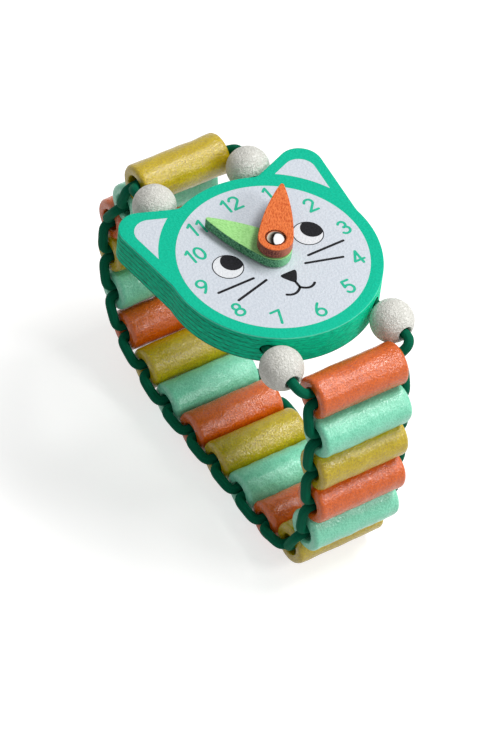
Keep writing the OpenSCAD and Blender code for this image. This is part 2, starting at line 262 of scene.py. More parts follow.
def board(name, outline, low, high, edge, hub):
    """A flat board with quarter-round edges. Rings of the outline step up the
    side, and shrunken ones cover both faces towards a hub."""
    hub = np.array(hub)
    steps = [(d, low + drop) for d, drop in broken_edge(edge)]
    steps += [(d, high - drop) for d, drop in reversed(broken_edge(edge))]
    walls = [(inset(outline, d), z) for d, z in steps]
    shares = np.linspace(0.02, 0.97, 16)
    floor_rings = [(hub + (walls[0][0] - hub) * s, low) for s in shares]
    top_rings = [(hub + (walls[-1][0] - hub) * s, high) for s in shares[::-1]]
    return lay_rings(name, [at_height(flat, z) for flat, z in floor_rings + walls + top_rings])


class Value:
    """A shader socket that takes part in sums. Each operator adds a Math
    node, so a formula reads as it is written."""

    def __init__(self, nodes, socket):
        self.nodes, self.socket = nodes, socket

    def math(self, operation, *others):
        """A Math node on this value and others, in that order."""
        terms = dict(enumerate((self, *others)))
        return self.nodes.node("ShaderNodeMath", {"operation": operation}, terms)

    def __add__(self, other):
        return self.math("ADD", other)

    def __sub__(self, other):
        return self.math("SUBTRACT", other)

    def __rsub__(self, other):
        return self.nodes.node("ShaderNodeMath", {"operation": "SUBTRACT"}, {0: other, 1: self})

    def __mul__(self, other):
        return self.math("MULTIPLY", other)

    __radd__, __rmul__ = __add__, __mul__

    def limited(self):
        """The value kept between 0 and 1."""
        return self.nodes.node("ShaderNodeClamp", {}, {"Value": self})

    def between(self, low, high):
        """0 below low, 1 above high, a smooth step between."""
        return self.nodes.node("ShaderNodeMapRange", {"interpolation_type": "SMOOTHSTEP"},
                               {"Value": self, "From Min": low, "From Max": high})


def paint(red, green, blue):
    """An 8-bit screen colour as a linear one, by the sRGB curve: straight
    near black and a power of 2.4 above."""
    linear = [c / 255 / 12.92 if c <= 10 else ((c / 255 + 0.055) / 1.055) ** 2.4
              for c in (red, green, blue)]
    return (*linear, 1.0)


class Nodes:
    """A tree of shader nodes under construction."""

    def __init__(self, tree):
        self.tree = tree

    def put(self, target, value):
        """Feeds a socket with a link or a plain value."""
        if isinstance(value, Value):
            self.tree.links.new(value.socket, target)
        else:
            target.default_value = value

    def node(self, kind, settings=None, inputs=None, output=0):
        """Adds a node: its settings first, then its sockets."""
        made = self.tree.nodes.new(kind)
        for key, value in (settings or {}).items():
            setattr(made, key, value)
        for key, value in (inputs or {}).items():
            self.put(made.inputs[key], value)
        return Value(self, made.outputs[output])

    def part(self, vector, axis):
        """One coordinate of a vector."""
        return self.node("ShaderNodeSeparateXYZ", {}, {"Vector": vector}, axis)

    def mix(self, share, first, second):
        """A colour between two, by a share."""
        return self.node("ShaderNodeMix", {"data_type": "RGBA"},
                         {0: share, 6: first, 7: second}, 2)


class Finish(Nodes):
    """A material with one principled shader. Its patterns lie in the
    object's own coordinates, in millimetres."""

    def __init__(self, name, **sockets):
        self.material = bpy.data.materials.new(name)
        self.material.use_nodes = True
        super().__init__(self.material.node_tree)
        self.shader = self.tree.nodes["Principled BSDF"]
        self.feed(**sockets)

    def feed(self, **sockets):
        """Feeds the shader's own sockets, named with _ for a space."""
        for key, value in sockets.items():
            self.put(self.shader.inputs[key.replace("_", " ")], value)

    def place(self, stretch=(1, 1, 1), turn=0.0):
        """Each point's place in mm, turned about Z by some degrees and then
        stretched."""
        here = self.node("ShaderNodeTexCoord", output="Object")
        if turn:
            here = self.node("ShaderNodeVectorRotate", {"rotation_type": "Z_AXIS"},
                             {"Vector": here, "Angle": math.radians(turn)})
        scale = tuple(1000 * share for share in stretch)
        return self.node("ShaderNodeMapping", {}, {"Vector": here, "Scale": scale})

    def noise(self, size, detail=2.0, rough=0.5, stretch=(1, 1, 1), warp=0.0, turn=0.0):
        """Cloudy noise from 0 to 1 whose lumps are about size mm across."""
        return self.node("ShaderNodeTexNoise", {}, {
            "Vector": self.place(stretch, turn), "Scale": 1 / size,
            "Detail": detail, "Roughness": rough, "Distortion": warp})

    def facing_up(self):
        """The upward part of the face's direction: 1 on a level top."""
        return self.part(self.node("ShaderNodeNewGeometry", output="True Normal"), "Z")

    def away_from(self, x, y):
        """Distance in mm from a spot, as seen from above."""
        return self.node("ShaderNodeVectorMath", {"operation": "DISTANCE"},
                         {0: self.place((1, 1, 0)), 1: (x, y, 0)}, "Value")

    def relief(self, height, depth):
        """Bump of a height from 0 to 1, which stands for so many mm."""
        self.feed(Normal=self.node("ShaderNodeBump", {}, {
            "Height": height, "Strength": 1.0, "Distance": depth / 1000}))

    def on(self, piece):
        """Gives a piece this material and no other."""
        piece.data.materials.clear()
        piece.data.materials.append(self.material)


def painted_board(name, colour, deep):
    """Satin paint rolled on smooth wood: fine stipple over a faint grain,
    whose pits hold a deeper tone."""
    finish = Finish(name, Specular_IOR_Level=0.15)
    stipple = finish.noise(0.45, rough=0.6).between(0.32, 0.68)
    grain = finish.noise(0.5, stretch=(1, 0.12, 1))
    cloud = finish.noise(7)
    share = (stipple * 0.55 + grain * 0.2 + cloud * 0.3 - 0.15).limited()
    finish.feed(Base_Color=finish.mix(share, colour, deep), Roughness=0.46 + stipple * 0.14)
    finish.relief(stipple * -0.7 + grain * 0.3, 0.05)
    return finish


def layered_edge_paint():
    """The board's paint, with the layers of the plywood on its sawn edge: seams at even heights,
    a little wavy and broken, that fade to the right, and streaks. Painted shade darkens the left
    of the edge and a line along its foot, and a pale painted highlight runs along its top edge."""
    finish = Finish("board_green", Specular_IOR_Level=0.15)
    z = finish.part(finish.place(), "Z") - DIAL_Z
    x = finish.part(finish.place(), "X")
    flat = finish.facing_up().math("ABSOLUTE").between(0.45, 0.8)
    side = 1 - flat
    stipple = finish.noise(0.38, rough=0.6).between(0.32, 0.68)
    grain = finish.noise(0.5, stretch=(1, 0.12, 1))
    streaks = finish.noise(0.24, detail=3, rough=0.6, stretch=(0.2, 0.2, 1)).between(0.3, 0.7)
    wave = finish.noise(5) * 0.7
    to_seam = (z + wave - 0.35).math("PINGPONG", CASE_T / BOARD_LAYERS / 2)
    unbroken = finish.noise(3.5, stretch=(1, 1, 0.5)).between(0.2, 0.5)
    seam = (1 - to_seam.between(0.01, 0.17)) * unbroken
    # Painted shade: besides keeping the seams strong on the left, this share darkens the whole
    # left of the sawn edge
    left = 1 - x.between(-18, 0) * 0.95
    # Painted shade: a dark line along the bottom of the sawn edge
    foot = 1 - (z + CASE_T).between(0.15, 0.5)
    # Painted highlight: a pale line along the top of the sawn edge
    rim = (z + 0.34).between(0, 0.14)
    shade = (streaks * 0.5 + seam * left * 0.55 + foot * 0.5 + left * 0.3 - 0.14).limited()
    top = finish.mix(stipple * 0.6, paint(4, 198, 160), paint(0, 178, 142))
    sawn = finish.mix(shade, paint(0, 232, 178), paint(0, 98, 74))
    edge = finish.mix(rim * 0.7, sawn, paint(120, 236, 208))
    finish.feed(Base_Color=finish.mix(flat, edge, top),
                Roughness=0.46 + side * 0.12 + stipple * 0.12)
    finish.relief(flat * (grain * 0.3 - stipple * 0.5)
                  + side * (streaks * -0.6 - seam * left * 0.8), 0.06)
    return finish


case = board("case_board", case_outline() + [0, DIAL_Y], DIAL_Z - CASE_T, DIAL_Z,
             CASE_EDGE, hub=(0, DIAL_Y))


def lathe(name, profile, start, axis, columns, closed=False, lumps=0.0, seed=1):
    """A turned shape: a profile of distances along an axis and radii, carried
    round it. Each point is the start, plus its distance times the axis, plus
    its radius times (cos a, sin a) across the axis. Lumps add a slow
    unevenness of so many mm to the outside."""
    axis = unit(np.asarray(axis, float))
    side = unit(np.cross(axis, [0, 0, 1] if abs(axis[2]) < 0.9 else [1, 0, 0]))
    other = np.cross(axis, side)
    a = np.linspace(0, 2 * math.pi, columns, endpoint=False)
    round_it = np.cos(a)[:, None] * side + np.sin(a)[:, None] * other
    profile = np.asarray(profile, float)
    rings = np.asarray(start) + profile[:, :1, None] * axis + profile[:, 1:, None] * round_it
    if lumps:
        rise = unevenness(rings.reshape(-1, 3), seed).reshape(rings.shape[:2])
        rings = rings + (lumps * rise * outside(profile)[:, None])[..., None] * round_it
    return lay_rings(name, rings, closed=closed)


def outside(profile):
    """1 on the outermost radius of a profile, falling to 0 at two thirds."""
    return np.clip(3 * profile[:, 1] / profile[:, 1].max() - 2, 0, 1)


LUMP_SIZE, LUMP_WAVES = 3.2, 14


def unevenness(points, seed):
    """A slow random rise between about -1 and 1: the sum of plane sine waves
    in random directions, 0.6 to 1.8 lump sizes long, over the root of their
    number."""
    rng = np.random.default_rng(seed)
    total = np.zeros(len(points))
    for _ in range(LUMP_WAVES):
        wave = rng.normal(size=3)
        wave *= 2 * math.pi / (LUMP_SIZE * rng.uniform(0.6, 1.8)) / np.linalg.norm(wave)
        total += np.sin(points @ wave + rng.uniform(0, 2 * math.pi))
    return total / LUMP_WAVES ** 0.5


# The cord's bores cross the board from edge to edge, at the middle of its
# thickness, in line with the balls outside them.
BALL_R, BALL_GAP = 3.9, 0.2
BALL12_X, BALL6_X, BALL12_TILT = 0.51 * CASE_R, 0.595 * CASE_R, 14.0
MID_Z = DIAL_Z - CASE_T / 2
ball12_y = (ear_top[2] + BALL_R + BALL_GAP - BALL12_X * ear_top[1][0]) / ear_top[1][1]
ball6_y = -math.sqrt((CASE_R + BALL_R + BALL_GAP) ** 2 - BALL6_X ** 2)


def ball12_c(side):
    """Centre of the ball on one side at 12 o'clock, a gap off the ear."""
    return np.array([side * BALL12_X, DIAL_Y + ball12_y, MID_Z])


def ball6_c(side):
    """Centre of the ball on one side at 6 o'clock, a gap off the round."""
    return np.array([side * BALL6_X, DIAL_Y + ball6_y, MID_Z])


def ball12_dir(side):
    """Way of the cord through the ball at 12 o'clock: outwards and up the
    dial, tilted to its side."""
    tilt = math.radians(BALL12_TILT)
    return np.array([side * math.sin(tilt), math.cos(tilt), 0.0])


def case_mouth(side):
    """Where the bore opens on the ear: back from the ball's centre along its
    own bore, by its radius and the gap."""
    return ball12_c(side) - (BALL_R + BALL_GAP) * ball12_dir(side)


def case_dir(side):
    """Way of the bore through the board, from its mouth to the ball at 6."""
    return unit(ball6_c(side) - case_mouth(side))


def drill(piece, side):
    """Cuts one bore right through the board with a boolean, then drops the
    drill."""
    reach = np.linalg.norm(ball6_c(side) - case_mouth(side)) + DRILL_PAST
    bit = lathe("drill", [(-DRILL_PAST, CORD_HOLE_R), (reach, CORD_HOLE_R)],
                case_mouth(side), case_dir(side), 48)
    cut = piece.modifiers.new("bore", "BOOLEAN")
    cut.object, cut.operation, cut.solver = bit, "DIFFERENCE", "EXACT"
    bpy.context.view_layer.update()
    drilled = piece.evaluated_get(bpy.context.evaluated_depsgraph_get())
    done = bpy.data.meshes.new_from_object(drilled)
    piece.modifiers.clear()
    piece.data = done
    bpy.data.objects.remove(bit)


for side in (-1, 1):
    drill(case, side)
case.data.polygons.foreach_set("use_smooth", np.ones(len(case.data.polygons), bool))
case.data.set_sharp_from_angle(angle=math.radians(35))
layered_edge_paint().on(case)
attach(case, "case")
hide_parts("case_plate")

# --------------------------------- Dial's print
# Flat printed ink on the board: a pale disc and two inner ears, green
# numbers, and a plain cat face of circles, arcs and strokes.
DIAL_R = 16.9
INK = 0.02
# Each colour lies at its own level, counted in layers of ink
PALE_LEVEL, INK_LEVEL, EYE_LINE_LEVEL, PUPIL_LEVEL, STROKE_LIFT = 1, 2, 3, 4, 0.2
INNER_EAR_BORDER, INNER_EAR_RIM_R, INNER_EAR_TIP_R = 2.0, 19.9, 3.0
NUMBER_H, NUMBER_STROKE, FIGURE_STEP = 3.0, 0.48, 0.62
EYE_X, EYE_Y, EYE_R, EYE_LINE_W = 8.31, 1.6, 2.71, 0.16
PUPIL_R, PUPIL_X, PUPIL_Y = 2.04, 1.24, 0.71
NOSE_HUB, WHISKER_W = (0, -5.4), 0.48
INNER_EAR_STEP, NOSE_STEP = 0.2, 0.1

pale_ink = painted_board("pale_ink", paint(221, 227, 235), paint(202, 210, 220))
green_ink = painted_board("green_ink", paint(52, 198, 160), paint(26, 176, 140))
white_ink = painted_board("white_ink", paint(240, 242, 245), paint(226, 230, 235))
black_ink = painted_board("black_ink", paint(8, 8, 11), paint(34, 34, 40))


def inked(patch, ink):
    """Puts an ink on a patch, and the patch on the case."""
    ink.on(patch)
    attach(patch, "case")


def print_flat(name, outline, ink, level, hub=None):
    """A patch of ink on the dial: rings of its outline, drawn in towards a
    hub by shares, from just inside the board up to a level of the print."""
    outline = np.asarray(outline, float) + [0, DIAL_Y]
    hub = outline.mean(0) if hub is None else np.asarray(hub) + [0, DIAL_Y]
    low, high = DIAL_Z - INK, DIAL_Z + level * INK
    steps = [(0.5, low), (1, low), (1, high), (0.5, high), (0.1, high)]
    rings = [at_height(hub + share * (outline - hub), z) for share, z in steps]
    inked(lay_rings(name, rings, smooth=False), ink)


def pen_line(points, width, level, closed=False):
    """A pen stroke on the dial as rings of four points across the line: half
    a width to each side, and at open ends as much as a half circle leaves."""
    r = width / 2
    points = np.asarray(points, float)
    if not closed:
        first, last = unit(points[0] - points[1]), unit(points[-1] - points[-2])
        points = np.vstack([points[0] + r * first, points, points[-1] + r * last])
    line = spaced(points, width / 7, closed)
    if closed:
        way = closed_way(line)
        half = np.full(len(line), r)
    else:
        way = unit(np.gradient(line, axis=0))
        run = length_so_far(line)
        in_from_end = np.clip(np.minimum(run, run[-1] - run), 0, r)
        half = np.sqrt(np.maximum(r ** 2 - (r - in_from_end) ** 2, 0)) + 1e-4
    across = left_of(way) * half[:, None]
    line = line + [0, DIAL_Y]
    low, high = DIAL_Z - INK, DIAL_Z + level * INK
    left, right = line + across, line - across
    corners = [(left, low), (left, high), (right, high), (right, low)]
    return np.stack([at_height(flat, z) for flat, z in corners], 1), closed


def print_lines(name, strokes, ink):
    """Several pen strokes as one piece of ink: each a tube of four sides,
    with a face over each end of an open one."""
    faces, first = [], 0
    for rings, closed in strokes:
        rows, columns = rings.shape[:2]
        faces += grid_faces(rows, columns, closed, first)
        ends = [[first + 3, first + 2, first + 1, first]]
        first += rows * columns
        ends += [[first - 4, first - 3, first - 2, first - 1]]
        faces += [] if closed else ends
    vertices = np.vstack([rings.reshape(-1, 3) for rings, _ in strokes])
    inked(lay_mesh(name, vertices, faces, smooth=False), ink)


circle = arc((0, 0), 1, 0, 360, 181)[:-1]
print_flat("dial_disc", DIAL_R * circle, pale_ink, PALE_LEVEL)


def inner_ear(side):
    """The pale patch in an ear: the ear's outline drawn in by an even border,
    with a rounder tip, and cut below by a circle round the dial."""
    rim_r, tip_r = INNER_EAR_RIM_R, INNER_EAR_TIP_R
    (top_way, top_out, top_off), (side_way, side_out, side_off) = ear_top, ear_side
    top_off, side_off = top_off - INNER_EAR_BORDER, side_off - INNER_EAR_BORDER
    tip = np.linalg.solve([top_out, side_out], [top_off - tip_r, side_off - tip_r])
    top_corner = top_off * top_out + math.sqrt(rim_r ** 2 - top_off ** 2) * top_way
    side_corner = side_off * side_out + math.sqrt(rim_r ** 2 - side_off ** 2) * side_way
    shape = np.vstack([
        arc(tip, tip_r, angle_of(side_out), angle_of(top_out), 24),
        spaced([tip + tip_r * top_out, top_corner], OUTLINE_STEP),
        arc((0, 0), rim_r, angle_of(top_corner), angle_of(side_corner), 40),
        spaced([side_corner, tip + tip_r * side_out], OUTLINE_STEP),
    ])
    return spaced(shape * [side, 1], INNER_EAR_STEP, closed=True)[::side]


SIDES = ((-1, "left"), (1, "right"))
for side, name in SIDES:
    print_flat(f"inner_ear_{name}", inner_ear(side), pale_ink, PALE_LEVEL)


def oval(x, y, rx, ry, start=0, end=360, n=40):
    """An arc round the origin, stretched by two radii and moved to (x, y)."""
    return arc((0, 0), 1, start, end, n) * [rx, ry] + [x, y]


def bend(p, q, r, n=24):
    """A curve from p to r that heads for q: the mean of the three, weighted
    by (1 - s) squared, 2 s (1 - s) and s squared."""
    s = np.linspace(0, 1, n)[:, None]
    return (1 - s) ** 2 * np.array(p) + 2 * s * (1 - s) * np.array(q) + s ** 2 * np.array(r)


# Each figure's strokes in a box one unit high, round its middle
six_stem = np.vstack([bend((0.15, 0.48), (-0.14, 0.20), (-0.25, -0.10)),
                      oval(0, -0.21, 0.27, 0.27, 156, 180, 6)])
FIGURES = {
    "0": [oval(0, 0, 0.27, 0.45)],
    "1": [[(-0.16, 0.30), (0.06, 0.48)], [(0.06, 0.48), (0.06, -0.48)]],
    "2": [np.vstack([oval(0, 0.21, 0.26, 0.26, 165, -32), (-0.27, -0.46)]),
          [(-0.27, -0.46), (0.29, -0.46)]],
    "3": [oval(-0.02, 0.24, 0.22, 0.23, 150, -90, 30),
          oval(-0.02, -0.22, 0.27, 0.25, 92, -150, 34)],
    "4": [[(0.32, -0.22), (-0.31, -0.22)], [(-0.31, -0.22), (0.12, 0.48)],
          [(0.12, 0.48), (0.12, -0.48)]],
    "5": [[(0.24, 0.47), (-0.17, 0.47)], [(-0.17, 0.47), (-0.21, 0.03)],
          oval(-0.01, -0.17, 0.27, 0.29, 136, -150, 34)],
    "6": [oval(0, -0.21, 0.27, 0.27), six_stem],
    "7": [[(-0.27, 0.47), (0.27, 0.47)], [(0.27, 0.47), (-0.08, -0.48)]],
    "8": [oval(0, 0.24, 0.21, 0.22), oval(0, -0.22, 0.27, 0.25)],
    "9": [-oval(0, -0.21, 0.27, 0.27), -six_stem],
}
NUMBER_PLACES = {
    12: (0.2, 13.85), 1: (7.4, 12.9), 2: (12.45, 7.1), 3: (14.65, -0.2),
    4: (12.7, -7.3), 5: (7.4, -12.25), 6: (0.0, -14.4), 7: (-7.1, -12.45),
    8: (-12.25, -7.65), 9: (-14.65, -0.2), 10: (-11.8, 6.65), 11: (-8.0, 11.9),
}


def number_strokes(number, place):
    """A number's pen strokes: its figures a step apart, round a place. One
    that ends where it starts is closed, and each lies a hair over the last,
    as ink does."""
    figures = str(number)
    strokes = []
    for i, figure in enumerate(figures):
        shift = (i - (len(figures) - 1) / 2) * FIGURE_STEP
        for points in FIGURES[figure]:
            line = (np.array(points) + [shift, 0]) * NUMBER_H + place
            closed = np.allclose(line[0], line[-1])
            level = INK_LEVEL + STROKE_LIFT * len(strokes)
            strokes.append(pen_line(line[:-1] if closed else line, NUMBER_STROKE, level, closed))
    return strokes


for number, place in NUMBER_PLACES.items():
    print_lines(f"number_{number:02d}", number_strokes(number, place), green_ink)


def pupil():
    """The dark of an eye: the part of a circle, up and to the right, that
    the eye's own circle holds. In each direction from its middle it reaches
    its radius or the eye's circle, whichever is nearer."""
    way = arc((0, 0), 1, 0, 360, 121)[:-1]
    middle = np.array([PUPIL_X, PUPIL_Y])
    b = way @ middle
    to_eye = -b + np.sqrt(b ** 2 - middle @ middle + EYE_R ** 2)
    return middle + way * np.minimum(PUPIL_R, to_eye)[:, None]


for side, name in SIDES:
    eye = EYE_R * circle + [side * EYE_X, EYE_Y]
    print_flat(f"eye_{name}", eye, white_ink, INK_LEVEL)
    eye_line = pen_line(eye, EYE_LINE_W, EYE_LINE_LEVEL, closed=True)
    print_lines(f"eye_line_{name}", [eye_line], black_ink)
    print_flat(f"pupil_{name}", pupil() + [side * EYE_X, EYE_Y], black_ink, PUPIL_LEVEL)


def nose_line(corners):
    """A closed line that bends at each corner, from the middle of one side
    to the middle of the next."""
    before = (corners + np.roll(corners, 1, 0)) / 2
    after = (corners + np.roll(corners, -1, 0)) / 2
    bends = [bend(*three, 8) for three in zip(before, corners, after)]
    return spaced(np.vstack(bends), NOSE_STEP, closed=True)


NOSE_CORNERS = np.array([
    (-1.5, -5.1), (-0.45, -6.75), (0, -7.1), (0.45, -6.75), (1.5, -5.1),
    (1.56, -4.55), (1.3, -4.4), (-1.3, -4.4), (-1.56, -4.55)])
MOUTH_AND_WHISKERS = [
    [(0, -7.0), (0, -8.3)],
    bend((-3.0, -8.75), (-1.5, -9.85), (0, -8.35)),
    bend((0, -8.35), (1.45, -9.85), (2.8, -8.7)),
    [(-13.1, -2.76), (-5.9, -2.76)], [(-11.0, -5.87), (-4.2, -4.18)],
    [(5.45, -2.76), (12.75, -2.76)], [(3.95, -4.1), (10.55, -6.0)],
]
print_flat("nose", nose_line(NOSE_CORNERS), black_ink, INK_LEVEL, hub=NOSE_HUB)
print_lines("mouth_and_whiskers",
            [pen_line(line, WHISKER_W, INK_LEVEL) for line in MOUTH_AND_WHISKERS], black_ink)

# ---------------------------------------- Hands
# Two drop shapes sawn from 2 mm board. The light green one turns below the
# orange one, which has a sunk place for the head of the pin.
HAND_T, HAND_BASE_R, HAND_TIP_R, HAND_SIDE_R = 2.0, 3.1, 0.35, 40.0
HAND_EDGE = 0.16
HAND_HOLE_R = 0.9
HOUR_L, HOUR_AT, HOUR_Z = 13.3, -30.0, 0.35
MINUTE_L, MINUTE_AT, MINUTE_Z = 13.2, 38.5, 2.7
SINK_R, SINK_H, SINK_EDGE = 1.85, 0.6, 0.1
# Middle of the pale patch of painted light on the hands' edges
LIGHT_SPOT_X, LIGHT_SPOT_Y = 2.0, DIAL_Y - 3.3
TIP_CROWDING = 0.85


def drop_radius(directions, length):
    """Distance from the hand's hole to its outline in each direction: the
    farthest point that is inside both long side circles or in either round
    end."""
    d = np.stack([np.cos(directions), np.sin(directions)], 1)
    tip = length - HAND_TIP_R
    base_gap, tip_gap = HAND_SIDE_R - HAND_BASE_R, HAND_SIDE_R - HAND_TIP_R
    x = (base_gap ** 2 - tip_gap ** 2 + tip ** 2) / (2 * tip)
    y = math.sqrt(base_gap ** 2 - x ** 2)

    def leave(centre, r):
        """Where each direction leaves a circle: b plus the root of b squared
        less the centre's distance squared plus r squared, or 0 if it misses."""
        b = d @ np.array(centre)
        gone = b ** 2 - np.dot(centre, centre) + r ** 2
        return np.where(gone > 0, b + np.sqrt(np.maximum(gone, 0)), 0)

    sides = np.minimum(leave((x, y), HAND_SIDE_R), leave((x, -y), HAND_SIDE_R))
    base_touch = -HAND_BASE_R * x / math.hypot(x, y)
    tip_touch = tip + HAND_TIP_R * (tip - x) / math.hypot(tip - x, y)
    in_band = (sides * d[:, 0] > base_touch) & (sides * d[:, 0] < tip_touch)
    sides = np.where(in_band, sides, 0)
    return np.maximum.reduce([sides, np.full(len(d), HAND_BASE_R), leave((tip, 0), HAND_TIP_R)])


def hand(node, length, clock_at, z, sunk, finish):
    """A hand as rings from its hole out under it, up its edge, in over its
    top, and down again into the hole."""
    a = np.linspace(0, 2 * math.pi, 720, endpoint=False)
    # More directions near the tip, where the outline is farthest away
    a = a - TIP_CROWDING * np.sin(a)
    outer = drop_radius(a, length)
    edge = [(outer - inset_by, drop) for inset_by, drop in broken_edge(HAND_EDGE)]
    low, high = z, z + HAND_T
    hole, shares = np.full(len(a), HAND_HOLE_R), (0.3, 0.6, 0.9)
    inner = np.full(len(a), SINK_R) if sunk else hole
    rows = [(hole, low)]
    rows += [(hole + s * (edge[0][0] - hole), low) for s in shares]
    rows += [(r, low + drop) for r, drop in edge]
    rows += [(r, high - drop) for r, drop in reversed(edge)]
    rows += [(inner + s * (edge[0][0] - inner), high) for s in reversed(shares)]
    if sunk:
        rows += [(inner + SINK_EDGE, high), (inner, high - SINK_EDGE), (inner, high - SINK_H)]
    rows.append((hole, high - SINK_H if sunk else high))
    turn = math.radians(90 - clock_at)
    d = np.stack([np.cos(a + turn), np.sin(a + turn)], 1)
    rings = [at_height(r[:, None] * d + [0, DIAL_Y], DIAL_Z + h) for r, h in rows]
    piece = lay_rings(node + "_look", rings, closed=True)
    piece.data.set_sharp_from_angle(angle=math.radians(40))
    finish.on(piece)
    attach(piece, node)
    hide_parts(node)


def hand_paint(name, turn, top, top_deep, side, side_deep):
    """Brushed paint on the top, whose pits are stretched along the hand, and a darker stain on
    the sawn edge, with a pale patch of painted light on it near the pin."""
    finish = Finish(name, Specular_IOR_Level=0.2)
    flat = finish.facing_up().between(0.3, 0.75)
    brush = finish.noise(0.26, rough=0.65, stretch=(1, 0.4, 1), turn=turn).between(0.34, 0.74)
    grain = finish.noise(0.26, stretch=(1, 1, 0.8)).between(0.3, 0.7)
    # Painted light: the sawn edge turns pale near the pin, where it faces the light
    worn = 1 - finish.away_from(LIGHT_SPOT_X, LIGHT_SPOT_Y).between(1.5, 4)
    face = finish.mix(brush, top, top_deep)
    edge = finish.mix((grain * 0.6 + 0.45).limited() * (1 - worn * 0.8), side, side_deep)
    finish.feed(Base_Color=finish.mix(flat, edge, face), Roughness=0.48 + brush * 0.15)
    finish.relief(brush * -0.6 + grain * 0.3, 0.1)
    return finish


hour_green = hand_paint(
    "hour_green", HOUR_AT, top=paint(178, 240, 154), top_deep=paint(150, 218, 128),
    side=paint(150, 230, 172), side_deep=paint(34, 104, 72))
minute_orange = hand_paint(
    "minute_orange", MINUTE_AT, top=paint(246, 132, 70), top_deep=paint(206, 88, 36),
    side=paint(212, 128, 100), side_deep=paint(100, 42, 36))
hand("hour_hand", HOUR_L, HOUR_AT, HOUR_Z, False, hour_green)
hand("minute_hand", MINUTE_L, MINUTE_AT, MINUTE_Z, True, minute_orange)

# ------------------------------------- Hand pin
# A bright metal pin with a domed head, pressed into the board, on which both
# hands turn.
PIN_R, PIN_GRIP = 0.85, 4.2
PIN_HEAD_R, PIN_HEAD_Z, PIN_HEAD_H, PIN_RIM_H = 1.65, 4.15, 1.3, 0.4
PIN_BREAK_LOW, PIN_BREAK_TOP = 0.06, 0.04
GLINT_X, GLINT_Y = 0.05, DIAL_Y - 1.02


def pin_profile():
    """Heights over the dial and radii: shank, under the head, rim, and a
    dome that is part of the sphere through the rim and the top, from just
    inside the rim to just short of the pole."""
    dome_h = PIN_HEAD_H - PIN_RIM_H
    dome_r = (PIN_HEAD_R ** 2 + dome_h ** 2) / (2 * dome_h)
    rim_angle = math.degrees(math.asin(PIN_HEAD_R / dome_r))
    dome_c = (PIN_HEAD_Z + PIN_HEAD_H - dome_r, 0)
    return np.vstack([
        (-PIN_GRIP, PIN_R), (PIN_HEAD_Z, PIN_R),
        (PIN_HEAD_Z, PIN_HEAD_R - PIN_BREAK_LOW), (PIN_HEAD_Z + PIN_BREAK_LOW, PIN_HEAD_R),
        (PIN_HEAD_Z + PIN_RIM_H - PIN_BREAK_TOP, PIN_HEAD_R),
        arc(dome_c, dome_r, 0.96 * rim_angle, math.degrees(0.02), 20)])


pin = lathe("pin_look", pin_profile(), (0, DIAL_Y, DIAL_Z), (0, 0, 1), 96)
pin.data.set_sharp_from_angle(angle=math.radians(45))
pin_metal = Finish("pin_metal", Metallic=1.0)
scuff = pin_metal.noise(0.25, detail=3, stretch=(1, 0.2, 1))
# The dome's colour is a painted reflection: a painted highlight low on its front, a dark ring
# round that, which fades outwards, and a warm grey beyond
from_glint = pin_metal.away_from(GLINT_X, GLINT_Y) + pin_metal.noise(0.8) * 0.3 - 0.15
reflected_ring_and_grey = pin_metal.mix(from_glint.between(1.35, 2.2), paint(36, 32, 28), paint(212, 204, 188))
painted_reflection = pin_metal.mix(from_glint.between(0.98, 1.12), paint(252, 252, 252), reflected_ring_and_grey)
pin_metal.feed(Base_Color=painted_reflection, Roughness=0.05 + scuff * 0.1)
pin_metal.relief(scuff, 0.003)
pin_metal.on(pin)
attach(pin, "case")
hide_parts("hand_pin")

# ---------------------------------------- Balls
# Four turned wooden balls, dipped in off-white paint through which the grain
# shows a little. Each is threaded on one strand, beside the board's edge.
MOUTH_WEAR, MOUTH_DEPTH = 0.2, 0.25
LIP_IN, LIP_RISE = 0.06, 0.08
BALL_LUMPS, BALL_SEED = 0.02, 50


def ball_profile():
    """Distances along the bore and radii: from one worn mouth over the ball
    in an arc to the other, and back through the bore."""
    mouth_r = CORD_HOLE_R + MOUTH_WEAR
    mouth = math.sqrt(BALL_R ** 2 - mouth_r ** 2)
    mouth_angle = math.degrees(math.asin(mouth_r / BALL_R))
    lip, lip_r = mouth - LIP_IN, CORD_HOLE_R + LIP_RISE
    straight = mouth - MOUTH_DEPTH
    return np.vstack([
        (-lip, lip_r), arc((0, 0), BALL_R, 180 - mouth_angle, mouth_angle, 60), (lip, lip_r),
        np.linspace((straight, CORD_HOLE_R), (-straight, CORD_HOLE_R), 12)])


ball_paint = Finish("ball_white", Specular_IOR_Level=0.3)
ball_grain = ball_paint.noise(0.38, warp=0.9).between(0.3, 0.7)
ball_cloud = ball_paint.noise(3.0)
ball_share = (ball_grain * 0.75 + ball_cloud * 0.4 - 0.2).limited()
off_white = ball_paint.mix(ball_share, paint(240, 239, 232), paint(204, 203, 193))
ball_paint.feed(Base_Color=off_white, Roughness=0.46 + ball_grain * 0.2)
ball_paint.relief(ball_grain * -1, 0.1)

BALLS = {f"ball_12_{name}": (ball12_c(side), ball12_dir(side)) for side, name in SIDES}
BALLS |= {f"ball_6_{name}": (ball6_c(side), case_dir(side)) for side, name in SIDES}
for seed, (node, (centre, axis)) in enumerate(BALLS.items(), BALL_SEED):
    ball = lathe(node + "_look", ball_profile(), centre, axis, 120, closed=True,
                 lumps=BALL_LUMPS, seed=seed)
    ball_paint.on(ball)
    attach(ball, node)
    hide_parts(node)

# ---------------------------------------- Beads
# Eighteen turned wooden cylinders with rounded ends, dipped in mustard, mint
# and orange gloss paint that dried with a fine skin like an orange's.
BEAD_L, BEAD_R, BEAD_ROUND, BEAD_LUMPS = 18.0, 3.9, 0.8, 0.045
BORE_R, BORE_ROUND = 1.97, 0.5
BEAD_COLOURS = {
    "mustard": (paint(206, 179, 8), paint(142, 110, 0)),
    "mint": (paint(138, 229, 194), paint(84, 190, 150)),
    "orange": (paint(228, 102, 10), paint(160, 50, 0)),
}


